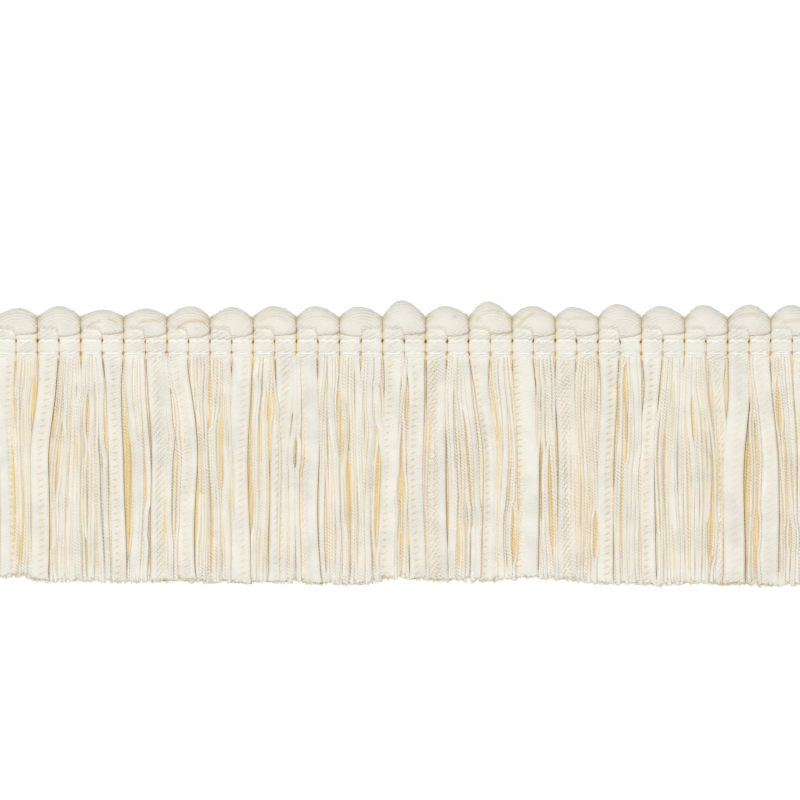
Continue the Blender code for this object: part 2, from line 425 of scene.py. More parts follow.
class Trim:
    """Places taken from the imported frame."""

    def __init__(self):
        low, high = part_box("lock_stitch_upper")
        self.middle_x = (low.x + high.x) / 2
        self.arch_y = (low.y + high.y) / 2 + UPPER_STITCH_DROP
        self.loop_places = [self.loop_x(loop) for loop in range(LOOP_COUNT)]
        self.loop_cuts = [self.bundle_cut(loop) for loop in range(LOOP_COUNT)]

    def bundle_cut(self, loop):
        """Return the drop of a bundle's cut ends."""
        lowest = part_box(f"turned_bundle_{loop + 1:02d}")[0].y
        return self.arch_y - lowest - CUT_JITTER

    def loop_x(self, loop):
        """Return the X of a loop's middle, counted from the left."""
        return self.middle_x + (loop - (LOOP_COUNT - 1) / 2) * LOOP_PITCH

    def leg_x(self, leg):
        return self.middle_x + (leg + 0.5 - LOOP_COUNT) * LEG_PITCH

    def y(self, drop):
        return self.arch_y - drop

    def crown(self, loop):
        """Return the height of a loop's crown over the arch line."""
        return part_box(f"turned_bundle_{loop + 1:02d}")[1].y - self.arch_y

    def lean(self, loop):
        """Return how far a loop's crown stands along X from its middle."""
        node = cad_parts[f"turned_bundle_{loop + 1:02d}"]
        peak = max((vertex.co for vertex in node.data.vertices), key=lambda co: co.y)
        return peak.x - self.loop_x(loop)

    def cut_drop(self, x):
        """Return the drop of the cut ends under a place along the heading."""
        return float(np.interp(x, self.loop_places, self.loop_cuts))

    def part_strands(self, path, half_width):
        """Squeeze a strand's centre line aside where it would cover a slit."""
        drop = self.arch_y - path[:, 1]
        for top_px, low_px, first, last, half in SLITS:
            start, end = ((row - ARCH_LINE_PX) * PIXEL for row in (first, last))
            share = np.clip((drop - start) / (end - start), 0, 1)
            slit_px = top_px + (low_px - top_px) * share
            away = path[:, 0] - self.middle_x - (slit_px - MIDDLE_LOOP_PX) * PIXEL
            ease = 0.3 * (end - start)
            window = smooth_step((drop - start) / ease) * smooth_step((end - drop) / ease)
            if window.max() < 0.01:
                continue
            side = 1.0 if (away * window).sum() > 0 else -1.0
            distance = away * side
            need = (0.7 * half_width + SLIT_SHARE * half * PIXEL) * window
            reach = SLIT_REACH + half_width
            squeezed = need + np.clip(distance, 0, None) * (1 - need / reach)
            shift = np.where(distance < reach, squeezed - distance, 0) * (window > 0)
            most = min(SLIT_MOST, SLIT_STEEPNESS * (end - start))
            path[:, 0] += side * np.clip(shift, 0, most)


def strand_path(trim, top_x, low_x, height, rows, cut, root=ROOT_DROP):
    """Return a strand's centre line from under the lower stitch to the cut line.

    The strand starts at top_x, a little below its own height, and has drifted to
    low_x by the middle of the fringe.
    """
    share = np.append(np.linspace(0.0, 0.994, rows - 1), 1.0)
    drop = FRINGE_TOP + share * (cut - FRINGE_TOP)
    x = top_x + (low_x - top_x) * smooth_step(share / DRIFT_SHARE)
    x += sway(x, drop)
    leg_middle = trim.leg_x(round((top_x - trim.leg_x(0)) / LEG_PITCH))
    gathered = 1 - smooth_step((drop - FRINGE_TOP) / GATHER_LENGTH)
    gather = HIDDEN_GATHER_SHARE if height < HIDDEN_BELOW else GATHER_SHARE
    x += gather * (leg_middle - top_x) * gathered
    z = height - root * (1 - smooth_step((drop - FRINGE_TOP) / (2.4 * MM)))
    return np.stack((x, trim.y(drop), z), axis=-1), share


def side_shade(height, shade, angle):
    """Return the painted shade around a strand: more on its sides and underside, between strands,
    and pale on the back face.
    """
    facing = np.sin(angle)
    upper = shade + 0.35 * (1 - np.clip(facing, 0, 1)) ** 1.6
    if height < BACK_LAYER_TOP:
        upper = np.where(facing < -0.2, 0.1, upper)
    return np.clip(upper, 0, 0.65)


def paled_end(share):
    """Return how much of its painted shade a strand keeps: the frayed end is pale."""
    return 1 - 0.85 * smooth_step((share - 0.92) / 0.06)


def layer_name(height):
    """Return the layer that a height belongs to."""
    if height < BACK_LAYER_TOP:
        return "back"
    return "third" if height < THIRD_LAYER_TOP else "front"


def add_yarn(surface, trim, top_x, low_x, height, shade):
    """Add one twisted yarn, and return its cut end and radius."""
    layer = layer_name(height)
    radius = rng.uniform(*YARN_RADIUS)
    if layer == "third":
        radius *= HIDDEN_YARN_SCALE
    cut = trim.cut_drop(top_x) + rng.uniform(-0.5, 0.6) * MM
    if shade > DEEP_SHADE:
        cut -= 0.3 * MM
    steps = YARN_ROWS[layer]
    path, share = strand_path(trim, top_x, low_x, height, steps, cut)
    at_end = abs(top_x - trim.middle_x) > (LOOP_COUNT - 0.6) * LEG_PITCH
    start = 0.05 if at_end else SETTLING_SHARE
    settled = rng.random() * smooth_step((share - start) / (1 - start))
    path[:, 2] += settled * YARN_SETTLING.get(layer, 0.0)
    path[:, 0] += wander(share, YARN_WANDER * (0.4 if layer == "third" else 1))
    path[:, 2] += wander(share, 0.13 * MM)
    path[:, 2] = np.maximum(path[:, 2], radius * 1.02)
    if height > PARTED_ABOVE:
        trim.part_strands(path, radius)
    across, out = path_frame(path, np.zeros(steps))
    swell = radius * (1 + 0.4 * smooth_step((share - 0.94) / 0.05))
    swell[-1] *= 0.6
    offsets = round_offsets(YARN_SIDES, swell)
    offsets[:, :, 1] *= YARN_FLATNESS
    rings = sweep(path, across, out, offsets)
    ply = PLY_LENGTH * rng.uniform(0.85, 1.3)
    along = (share * (cut - FRINGE_TOP) + rng.uniform(0, PLY_LENGTH)) / ply
    around = np.arange(YARN_SIDES) / YARN_SIDES
    # Painted shade: the strand is warmer on its sides and underside, where it lies between its
    # neighbours.
    painted_side_shade = side_shade(height, shade, around * TURN - math.pi / 2)
    surface.add_tube(rings, along[:, None], around, paled_end(share)[:, None] * painted_side_shade)
    return path[-1], radius


def tape_profile(width, thickness):
    """Return the across and out offsets of a tape's section, seam underneath."""
    top = np.linspace(1.0, -1.0, TAPE_FACE_POINTS)
    bottom = np.linspace(-1.0, 1.0, TAPE_BACK_POINTS + 2)[1:-1]
    start = TAPE_BACK_POINTS // 2
    across = np.concatenate((bottom[start:], top, bottom[:start]))
    before = np.zeros(TAPE_BACK_POINTS - start)
    is_top = np.concatenate((before, np.ones(TAPE_FACE_POINTS), np.zeros(start)))
    edge = np.sqrt(np.clip(1 - np.abs(across) ** 3, 0, 1))
    out = np.where(is_top > 0, 0.5 * edge, -0.5 * edge) * thickness
    return across * width / 2, out, is_top


def add_tape(surface, trim, row):
    """Add one knit tape with its rails, its ladder column and slanted ribs."""
    top_x = trim.leg_x(row["leg"])
    cut = trim.cut_drop(top_x) + rng.uniform(-0.3, 0.4) * MM
    rows = int((cut - FRINGE_TOP) / TAPE_STEP)
    height = FRONT_HEIGHT + row["rise"] * MM
    low_x = top_x + row["lean"] * MM
    path, share = strand_path(trim, top_x, low_x, height, rows, cut, TAPE_ROOT_DROP)
    path[:, 0] += wander(share, 0.14 * MM)
    distance = share * (cut - FRINGE_TOP)
    from_end = np.clip((distance - distance[-1]) / TAPE_END_LENGTH + 1, 0, 1)
    end_round = np.sqrt(1 - 0.9 * from_end ** 2.4)
    path[:, 2] -= 0.35 * MM * (1 - end_round)
    roll = math.radians(row["tilt"]) * smooth_step(share * 2) + wander(share, 0.1)
    across, out = path_frame(path, roll)

    width = row["width"] * MM
    profile_x, profile_z, is_top = tape_profile(width, TAPE_THICKNESS)
    root_share = 0.97 * LEG_PITCH / width
    spread = root_share + (1 - root_share) * smooth_step(share * 6)
    flare = 1 + 0.06 * smooth_step((share - 0.96) / 0.04)
    side = profile_x * (spread * flare)[:, None]

    column = row["column"] * MM + 0.15 * MM * np.sin(distance / (9 * MM) + row["leg"])
    from_column = side - column[:, None]
    column_half = 0.21 * width
    in_column = np.exp(-(from_column / column_half) ** 4)
    slant = row["slant"] * from_column
    rib_at = (distance[:, None] + slant) / RIB_LENGTH
    rib = np.cos(rib_at * TURN)
    pit = np.clip(np.cos(rib_at * math.pi), 0, 1) ** 8
    pit_reach = 0.45 + 0.4 * min(row["slant"], 1.4)
    pit_at = (from_column + 0.25 * column_half) / (pit_reach * column_half)
    pit = pit * np.exp(-pit_at ** 2) * row["depth"]
    relief = (
        -LADDER_DEPTH * in_column
        + LADDER_RIB * rib * in_column * (0.5 + row["depth"])
        - PIT_DEPTH * pit
        + FLAT_RIB * rib
    )
    rise = (profile_z + relief * is_top) * end_round[:, None]
    rings = sweep(path, across, out, np.stack((side, rise), axis=-1))
    rings[:, :, 2] = np.maximum(rings[:, :, 2], FLOOR_CLEARANCE)
    ragged = np.array([rng.uniform(-0.3, 0.25) for _ in profile_x]) * MM
    for row_back, share_back in ((1, 1.0), (2, 0.9), (3, 0.6), (4, 0.3)):
        rings[-row_back, :, 1] += share_back * ragged

    # Painted shade: golden on the underside and along the edges where the tape meets its
    # neighbours, tan in the ladder's pits and column and between the ribs there; the last rows at
    # the cut end stay pale.
    under = np.where(is_top > 0, 0.0, 1.1)
    edge = np.abs(profile_x / (width / 2)) ** 10 * 1.1
    pit_shade = np.clip(1.3 * pit + 0.08 * in_column - 0.14 * rib * in_column, 0, 0.85)
    shade = np.clip(under + edge + pit_shade * is_top, 0, 1.2)
    shade[-3:] *= 0.2
    surface.add_tube(rings, rib_at, side / WALE_WIDTH, shade)
    return path[-1], width


def add_flat_band(surface, trim, top_x, low_x, height, width, thickness, shade):
    """Add a plain narrow or backing tape."""
    cut = trim.cut_drop(top_x) + rng.uniform(-0.4, 0.4) * MM
    path, share = strand_path(trim, top_x, low_x, height, BAND_ROWS, cut)
    path[:, 0] += wander(share, 0.12 * MM)
    if height > SECOND_HEIGHT:
        trim.part_strands(path, width / 2)
    roll = wander(share, 0.25 if width < 2 * MM else 0.04)
    across, out = path_frame(path, roll)
    angle = np.arange(BAND_SIDES) / BAND_SIDES * TURN - math.pi / 2
    cosine = np.cos(angle)
    sine = np.sin(angle)
    ring_x = np.sign(cosine) * np.abs(cosine) ** 0.7 * width / 2
    ring_z = np.sign(sine) * np.abs(sine) ** 0.8 * thickness / 2
    ring = np.stack((ring_x, ring_z), axis=-1)
    rings = sweep(path, across, out, np.tile(ring[None], (BAND_ROWS, 1, 1)))
    rings[:, :, 2] = np.maximum(rings[:, :, 2], FLOOR_CLEARANCE)
    distance = share * (cut - FRINGE_TOP)
    along = (distance[:, None] + 0.5 * ring_x) / RIB_LENGTH
    # Painted shade: the tape is warmer on its sides and underside, where it lies between its
    # neighbours.
    painted_side_shade = 1.7 * side_shade(height, shade, angle)
    shade = paled_end(share)[:, None] * painted_side_shade
    surface.add_tube(rings, along, ring_x / WALE_WIDTH, shade)
    return path[-1]


def add_cut_fibres(surface, centre, half_width, half_height, count, thickest):
    """Add short loose fibres at a cut end, most of them on its face."""
    for _ in range(count):
        height = half_height * (1 - 2 * rng.random() ** 2)
        root = np.array((
            centre[0] + rng.uniform(-1, 1) * half_width,
            centre[1] + rng.uniform(0.1, 0.9) * MM,
            max(FIBRE_CLEARANCE, centre[2] + height),
        ))
        length = rng.uniform(0.45, 1.15) * MM
        tip = root + np.array((
            rng.uniform(-0.45, 0.45) * length,
            -length,
            rng.uniform(-0.2, 0.3) * length,
        ))
        tip[2] = max(tip[2], 0.04 * MM)
        radius = rng.uniform(0.035 * MM, thickest)
        ring = np.stack((np.cos(FIBRE_ANGLES), np.zeros(3), np.sin(FIBRE_ANGLES)), axis=-1)
        rings = np.stack((root + ring * radius, tip + ring * radius * 0.35))
        surface.add_tube(rings, shade=0.05)


def add_stray_fibres(surface, places, outward, count):
    """Add fine loose fibres that stand off a surface at seeded places."""
    for _ in range(count):
        order = rng.randrange(len(places))
        length = rng.uniform(0.35, 0.9) * MM
        aside = np.array([rng.uniform(-0.7, 0.7) for _ in range(3)])
        heading = outward[order] + aside
        heading /= np.linalg.norm(heading)
        root = places[order] - 0.05 * MM * outward[order]
        bend = np.array([rng.uniform(-0.4, 0.4) for _ in range(3)]) * length
        middle = root + 0.5 * length * heading
        tip = root + length * heading + bend
        path = np.stack((root, middle, tip))
        path[:, 2] = np.maximum(path[:, 2], FIBRE_CLEARANCE)
        side = np.cross(heading, (0.3, 0.5, 0.8))
        side /= np.linalg.norm(side)
        other = np.cross(heading, side)
        ring = np.cos(FIBRE_ANGLES)[:, None] * side + np.sin(FIBRE_ANGLES)[:, None] * other
        radius = STRAY_RADIUS * np.array((1.0, 0.8, 0.4))
        rings = path[:, None, :] + radius[:, None, None] * ring[None, :, :]
        surface.add_tube(rings)


def leg_profile():
    """Return a leg's section: across, height, and 1 where the threads can pinch it."""
    angle = np.linspace(0, math.pi, 17)
    arc_x = np.sign(np.cos(angle)) * np.abs(np.cos(angle)) ** 0.75
    arc_z = LEG_SIDE_SHARE + (1 - LEG_SIDE_SHARE) * np.sin(angle) ** 0.7
    across = np.concatenate(((-0.97, 0.97, 1.0), arc_x, (-1.0,)))
    height = np.concatenate(((0.0, 0.0, 0.4), arc_z, (0.4,)))
    soft = np.concatenate(((0.0, 0.0, 0.0), np.ones(17), (0.0,)))
    return across, height, soft


def add_leg(surface, trim, leg):
    """Add one stitched leg, pinched where the two threads cross it."""
    is_left = leg % 2 == 0
    in_front = is_left != (leg // 2 in RIGHT_LEG_IN_FRONT)
    top = FRONT_LEG_TOP if in_front else TUCKED_LEG_TOP
    top += rng.uniform(-0.12, 0.15) * MM
    stitched = np.linspace(top, LEG_FINE_END, LEG_FINE_ROWS)
    drop = np.append(stitched, np.linspace(LEG_COARSE_START, LEG_BOTTOM, LEG_COARSE_ROWS))
    pinch = np.zeros(len(drop))
    hole = np.zeros(len(drop))
    for stitch in (UPPER_STITCH_DROP, LOWER_STITCH_DROP):
        pinch += np.exp(-((drop - stitch) / PINCH_SPREAD) ** 2)
        beside = stitch + rng.uniform(-0.15, 0.2) * MM
        hole += rng.uniform(0.3, 1.1) * np.exp(-((drop - beside) / HOLE_SPREAD) ** 2)
    thickness = LEG_THICKNESS - LEG_PINCH * pinch
    width_share = np.ones(len(drop))
    if in_front:
        tip = np.clip((drop - top) / TONGUE_LENGTH, 0, 1)
        tongue = np.sqrt(1 - (1 - tip) ** 2)
        width_share = 0.4 + 0.6 * tongue
        swell = 0.45 * MM * np.exp(-((drop - top - 1.0 * MM) / (1.0 * MM)) ** 2)
        thickness = (thickness + swell) * (0.8 + 0.2 * smooth_step(tip))
    else:
        thickness -= 1.2 * MM * (1 - smooth_step((drop - top) / (1.7 * MM)))
    sink = smooth_step((drop - LOWER_STITCH_DROP) / LEG_SINK_LENGTH)
    lowered = LEG_THICKNESS - LEG_PINCH - LEG_SINK * sink
    thickness = np.where(drop > LOWER_STITCH_DROP, lowered, thickness)

    across, height, soft = leg_profile()
    half = LEG_HALF_WIDTH * width_share[:, None]
    half = half - HOLE_HALF_WIDTH * hole[:, None] * soft
    side = across * half
    rings = np.empty((len(drop), len(across), 3))
    rings[:, :, 0] = trim.leg_x(leg) + side
    rings[:, :, 1] = trim.y(drop)[:, None]
    underside = UNDERSIDE_LIFT * smooth_step((drop - LOWER_STITCH_DROP - 0.4 * MM) / (1.2 * MM))
    rings[:, :, 2] = np.maximum(height * thickness[:, None], underside[:, None])
    # Painted shade: golden along the sides where the leg meets its neighbours, stronger toward
    # the next loop, brown in the pinholes by the stitches, and warm on the lower sides; the
    # bottom and the outer walls of the two end legs stay pale.
    edge = np.abs(across) ** 10
    seam = rng.uniform(0.15, 0.5) * np.ones(len(across))
    seam[across > 0] = rng.uniform(0.15, 0.5)
    seam = seam * np.where((across < 0) == is_left, 1.7, 0.7)
    shade = seam * edge * soft + 0.75 * edge * hole[:, None]
    shade = np.where(soft > 0, shade, np.where(height > 0.1, 0.5, 0.1))
    if leg == 0:
        shade[:, across < -0.5] = 0.1
    if leg == 2 * LOOP_COUNT - 1:
        shade[:, across > 0.5] = 0.1
    along = (drop[:, None] + 0.4 * side) / RIB_LENGTH
    surface.add_tube(rings, along, side / WALE_WIDTH, np.clip(shade, 0, 1.2))


class Dome:
    """Shape of one turned loop: its outline, its height and its inner lines.

    Places are measured from the loop's eye, on the arch line.
    """

    def __init__(self, trim, loop):
        self.loop = loop
        self.centre_x = trim.loop_x(loop)
        self.crown = trim.crown(loop)
        self.lean = trim.lean(loop)
        self.tucked = -1 if loop in RIGHT_LEG_IN_FRONT else 1
        self.smile = rng.uniform(1.4, 2.2) * MM
        self.shoulder = DOME_SHOULDER + rng.uniform(-0.25, 0.25) * MM

    def edge_over(self, x):
        """Return the loop's edge over the arch line: a round top with straight flanks."""
        flank = np.where(x > self.lean, DOME_HALF_WIDTH - self.lean, DOME_HALF_WIDTH + self.lean)
        place = (x - self.lean) / flank
        bend = np.sqrt(place ** 2 + DOME_ROUNDNESS ** 2) - DOME_ROUNDNESS
        bend /= math.sqrt(1 + DOME_ROUNDNESS ** 2) - DOME_ROUNDNESS
        return self.crown - (self.crown - self.shoulder) * bend

    def arc_reach(self, cosine, sine):
        """Return where each direction meets the loop's edge, by halving steps."""
        near = np.zeros(cosine.shape)
        far = np.full(cosine.shape, 9 * MM)
        for _ in range(24):
            middle = (near + far) / 2
            inside = middle * sine < self.edge_over(middle * cosine)
            near = np.where(inside, middle, near)
            far = np.where(inside, far, middle)
        return near

    def reach(self, cosine, sine):
        """Return how far the dome reaches from its eye in each direction."""
        arc = self.arc_reach(cosine, sine)
        band = DOME_HALF_WIDTH / np.maximum(np.abs(cosine), 0.01)
        across = np.abs(cosine) / SMILE_HALF_WIDTH
        down = np.clip(-sine, 0, 1) / self.smile
        low = across ** SMILE_FULLNESS + down ** SMILE_FULLNESS
        smile = np.where(sine < 0, low ** (-1 / SMILE_FULLNESS), 1.0)
        total = sum((edge / MM) ** -OUTLINE_SHARPNESS for edge in (arc, band, smile))
        return total ** (-1 / OUTLINE_SHARPNESS) * MM

    def height(self, x, y, share, sine):
        """Return the surface's height: a pillow that dips under the front leg."""
        free = smooth_step((sine - 0.4) / 0.35)
        low = smooth_step((-sine - 0.1) / 0.3)
        rim = (3.95 - 2.9 * free - 0.7 * low - 0.7 * self.flank(sine)) * MM
        pillow = np.sqrt(1 - share ** 2.6)
        z = rim + (DOME_HEIGHT - rim) * pillow[:, None]
        below = smooth_step((0.5 * MM - y) / (1.5 * MM))
        front_side = smooth_step((0.2 * MM - x * self.tucked) / (1.4 * MM))
        z -= 1.1 * MM * below * front_side
        wave = np.sin(x / (1.3 * MM) + self.loop) * np.sin(y / (1.1 * MM) + 2 * self.loop)
        return z + 0.07 * MM * wave

    def flank(self, sine):
        """Return 1 where the dome meets the next one, falling off up and down."""
        return np.exp(-((sine - 0.15) / 0.35) ** 2)

    def creases(self, x, y):
        """Return how deep the inner turns' lines are at each place."""
        total = np.zeros(x.shape)
        for values in DOME_CREASES:
            row = dict(zip(CREASE_COLUMNS, values))
            if row["loop"] != self.loop:
                continue
            from_x = x - row["x"] * MM
            from_y = y - row["y"] * MM
            off_line = np.hypot(from_x, from_y) - row["radius"] * MM
            turn = np.degrees(np.arctan2(from_y, from_x))
            window = smooth_step((row["start"] - turn) / 8) * smooth_step((turn - row["end"]) / 8)
            line = np.exp(-(off_line / CREASE_HALF_WIDTH) ** 2)
            total += row["depth"] * window * line
        return total


def add_dome(surface, trim, loop):
    """Add one turned loop, a plump shell over its two legs."""
    dome = Dome(trim, loop)
    turn = np.arange(DOME_COLUMNS) / DOME_COLUMNS
    seam = math.radians(225 if dome.tucked > 0 else -45)
    angle = seam - turn * TURN
    cosine = np.cos(angle)
    sine = np.sin(angle)
    reach = dome.reach(cosine, sine)
    share = 1 - (1 - np.linspace(0.004, 1.0, DOME_ROWS)) ** 1.5
    x = share[:, None] * (reach * cosine)
    y = share[:, None] * (reach * sine)
    line = dome.creases(x, y)
    z = dome.height(x, y, share, sine) - CREASE_DEPTH * line

    leaned = dome.centre_x + x
    top = np.stack((leaned, trim.arch_y + y, z), axis=-1)
    floor_z = np.where(sine > -0.05, 0.0, 2.2 * MM)
    outer = np.stack((
        dome.centre_x + (leaned[-1] - dome.centre_x) * 0.93,
        trim.arch_y + y[-1] * 0.93,
        floor_z,
    ), axis=-1)
    inner = np.stack((leaned[0], trim.arch_y + y[0], np.zeros(DOME_COLUMNS)), axis=-1)
    rings = np.concatenate((top, outer[None], inner[None]))

    radius = np.hypot(x - TURN_X, y - TURN_Y)
    turn_angle = np.arctan2(y - TURN_Y, x - TURN_X)
    two_rows_below = ((0, 2), (0, 0))
    along = np.pad(radius / TURN_PITCH, two_rows_below)
    around = np.pad(turn_angle * 6 * MM / (3 * TURN_PITCH), two_rows_below)
    # Painted shade: tan along the creases and the rim, golden brown at the top where two domes
    # meet and down the flanks where they touch, and warm on the walls between domes; the free
    # walls stay pale.
    edge = share[:, None] ** 10
    rim = share[:, None] ** 5
    side = smooth_step((0.6 - sine) / 0.3)
    notch_shade = np.exp(-((sine - 0.42) / 0.12) ** 2)
    flank = dome.flank(sine)
    shade = 0.5 * line + edge * (0.12 + 0.28 * side + 0.22 * flank) + rim * 0.8 * notch_shade
    under = 0.1 + 0.5 * smooth_step((np.abs(cosine) - 0.75) / 0.2)
    shade = np.vstack((np.clip(shade, 0, 1.2), under, under))
    surface.add_tube(rings, along, around, shade)
    rim_places = top[-6:].reshape(-1, 3)
    outward = np.stack((cosine, sine, np.full(DOME_COLUMNS, 0.8)), axis=-1)
    outward = np.tile(outward / np.linalg.norm(outward, axis=1, keepdims=True), (6, 1))
    free_side = np.tile(sine > 0.1, 6)
    add_stray_fibres(surface, rim_places[free_side], outward[free_side], STRAY_FIBRES)


def stitch_stations(trim):
    """Return the thread's x, sideways shift and height at each bend."""
    over = LEG_THICKNESS - LEG_PINCH + 0.17 * MM
    stations = []
    for leg in range(2 * LOOP_COUNT):
        centre = trim.leg_x(leg)
        reach = rng.uniform(1.1, 1.3) * MM
        slope = rng.uniform(-0.07, 0.07) * MM
        stations += [
            (centre - reach - 0.25 * MM, -slope, THREAD_DIVE),
            (centre - reach, -slope, over - 0.04 * MM),
            (centre, 0.0, over + 0.05 * MM),
            (centre + reach, slope, over - 0.04 * MM),
            (centre + reach + 0.25 * MM, slope, THREAD_DIVE),
        ]
    return np.array(stations)


def add_stitches(surface, trim, drop):
    """Add one row of lock stitches: white bars that dive between the legs."""
    stations = stitch_stations(trim)
    rows = len(stations) * ROWS_A_STATION
    position = np.linspace(0, len(stations) - 1, rows)
    whole = np.clip(position.astype(int), 0, len(stations) - 2)
    part = smooth_step(position - whole)[:, None]
    mixed = stations[whole] * (1 - part) + stations[whole + 1] * part
    x = np.interp(position, np.arange(len(stations)), stations[:, 0])
    path = np.stack((x, trim.y(drop) + mixed[:, 1], mixed[:, 2]), axis=-1)
    along = np.gradient(path, axis=0)
    along /= np.linalg.norm(along, axis=1, keepdims=True)
    side = np.tile(np.array((0.0, 1.0, 0.0)), (rows, 1))
    out = np.cross(along, side)
    offsets = round_offsets(THREAD_SIDES, np.full(rows, THREAD_RADIUS))
    rings = sweep(path, side, out, offsets)
    along = (x[:, None] - x[0]) / THREAD_LAY_LENGTH
    surface.add_tube(rings, along, np.arange(THREAD_SIDES) / THREAD_SIDES)


class Nodes:
    """Short calls for wiring a material's nodes."""

    def __init__(self, name):
        self.material = bpy.data.materials.new(name)
        self.material.use_nodes = True
        self.tree = self.material.node_tree
        self.shader = self.tree.nodes["Principled BSDF"]

    def add(self, kind, inputs=(), **settings):
        node = self.tree.nodes.new(kind)
        for key, value in settings.items():
            setattr(node, key, value)
        for key, value in dict(inputs).items():
            self.feed(value, node.inputs[key])
        return node

    def feed(self, value, socket):
        """Link another node's output to a socket, or set a plain value."""
        if isinstance(value, bpy.types.NodeSocket):
            self.tree.links.new(value, socket)
        else:
            socket.default_value = value

    def math(self, operation, first, second=0.0, third=0.0):
        node = self.add(
            "ShaderNodeMath", {0: first, 1: second, 2: third}, operation=operation
        )
        return node.outputs[0]

    def noise(self, place, scale, detail, roughness):
        """Return the strength of a noise pattern."""
        inputs = {"Vector": place, "Scale": scale, "Detail": detail, "Roughness": roughness}
        return self.add("ShaderNodeTexNoise", inputs).outputs["Fac"]

    def mix_colours(self, factor, first, second):
        """Return the colour between two; the sockets are found by their kind."""
        node = self.tree.nodes.new("ShaderNodeMix")
        node.data_type = "RGBA"
        inputs = [socket for socket in node.inputs if socket.type == "RGBA"]
        shares = [socket for socket in node.inputs if socket.type == "VALUE"]
        self.tree.links.new(factor, shares[0])
        for socket, value in zip(inputs, (first, second)):
            self.feed(value, socket)
        return [socket for socket in node.outputs if socket.type == "RGBA"][0]

    def set(self, values):
        """Feed the shader's own sockets."""
        for name, value in values.items():
            self.feed(value, self.shader.inputs[name])


def yarn_material(name, pattern, light=CREAM, shade_colour=OCHRE, darkest_shade_colour=BROWN, roughness=0.85):
    """Return a cotton material whose relief and painted shade follow each point's lay.

    The pattern is ply for twisted yarn, rib for knit, or thread.
    """
    nodes = Nodes(name)
    lay = nodes.add("ShaderNodeAttribute", attribute_name="lay")
    parts = nodes.add("ShaderNodeSeparateXYZ", {0: lay.outputs["Vector"]})
    along, around, shade = parts.outputs
    place = nodes.add("ShaderNodeTexCoord").outputs["Object"]

    fibre_noise = nodes.noise(place, *FIBRE_NOISE)
    patch_noise = nodes.noise(place, *PATCH_NOISE)
    worn_noise = nodes.noise(place, *WORN_NOISE)
    strength = nodes.add(
        "ShaderNodeMapRange",
        {"Value": worn_noise, "From Min": 0.35, "From Max": 0.65, "To Min": 0.35},
    ).outputs[0]
    wave = nodes.math("SINE", nodes.math("MULTIPLY", along, TURN))
    if pattern == "ply":
        turn = nodes.math("ADD", along, around)
        plies = nodes.math("SINE", nodes.math("MULTIPLY", turn, TURN))
        relief = nodes.math("ABSOLUTE", plies)
        relief_depth = 0.12 * MM
        # Painted shade in the grooves between the plies
        hollow_shade = nodes.math("SUBTRACT", 1.0, nodes.math("POWER", relief, 0.5))
        hollow_shade = nodes.math("SUBTRACT", nodes.math("MULTIPLY", hollow_shade, 2.6), 0.7)
    elif pattern == "rib":
        weft = nodes.math("SINE", nodes.math("MULTIPLY", around, TURN))
        relief = nodes.math("ADD", wave, nodes.math("MULTIPLY", weft, 0.6))
        relief_depth = 0.05 * MM
        # Painted shade between the ribs
        hollow_shade = nodes.math("MULTIPLY", nodes.math("SUBTRACT", 0.0, wave), 0.37)
    else:
        relief = wave
        relief_depth = 0.015 * MM
        hollow_shade = nodes.math("MULTIPLY", wave, 0.02)
    relief = nodes.math("MULTIPLY", relief, strength)
    hollow_shade = nodes.math("MULTIPLY", hollow_shade, strength)

    weave_bump = nodes.add(
        "ShaderNodeBump",
        {"Strength": 0.9, "Distance": relief_depth, "Height": relief},
    )
    fibre_bump = nodes.add(
        "ShaderNodeBump",
        {
            "Strength": 0.6,
            "Distance": 0.09 * MM,
            "Height": fibre_noise,
            "Normal": weave_bump.outputs["Normal"],
        },
    )
    nodes.set({"Normal": fibre_bump.outputs["Normal"]})

    # Colour: from the light colour toward the shade colours by the lay's painted shade and the
    # painted shade between plies or ribs, with random tone from the patch and fibre noises.
    depth = shade
    for value, share in ((hollow_shade, 0.2), (patch_noise, 0.2), (fibre_noise, 0.3)):
        depth = nodes.math("ADD", depth, nodes.math("MULTIPLY", value, share))
    depth = nodes.math("SUBTRACT", depth, 0.24)
    warm = nodes.add("ShaderNodeMapRange", {"Value": depth, "From Max": 0.75})
    dark = nodes.add("ShaderNodeMapRange", {"Value": depth, "From Min": 0.9, "From Max": 1.2})
    warmed = nodes.mix_colours(warm.outputs[0], light, shade_colour)
    nodes.set({"Base Color": nodes.mix_colours(dark.outputs[0], warmed, darkest_shade_colour)})
    nodes.set({"Roughness": roughness, "Sheen Weight": 0.15, "Sheen Roughness": 0.5})
    return nodes.material


def floor_material():
    """Return a plain white studio surface."""
    nodes = Nodes("studio_floor")
    nodes.set({"Base Color": FLOOR_WHITE, "Roughness": 0.9})
    nodes.set({"Emission Color": FLOOR_WHITE, "Emission Strength": FLOOR_GLOW})
    return nodes.material


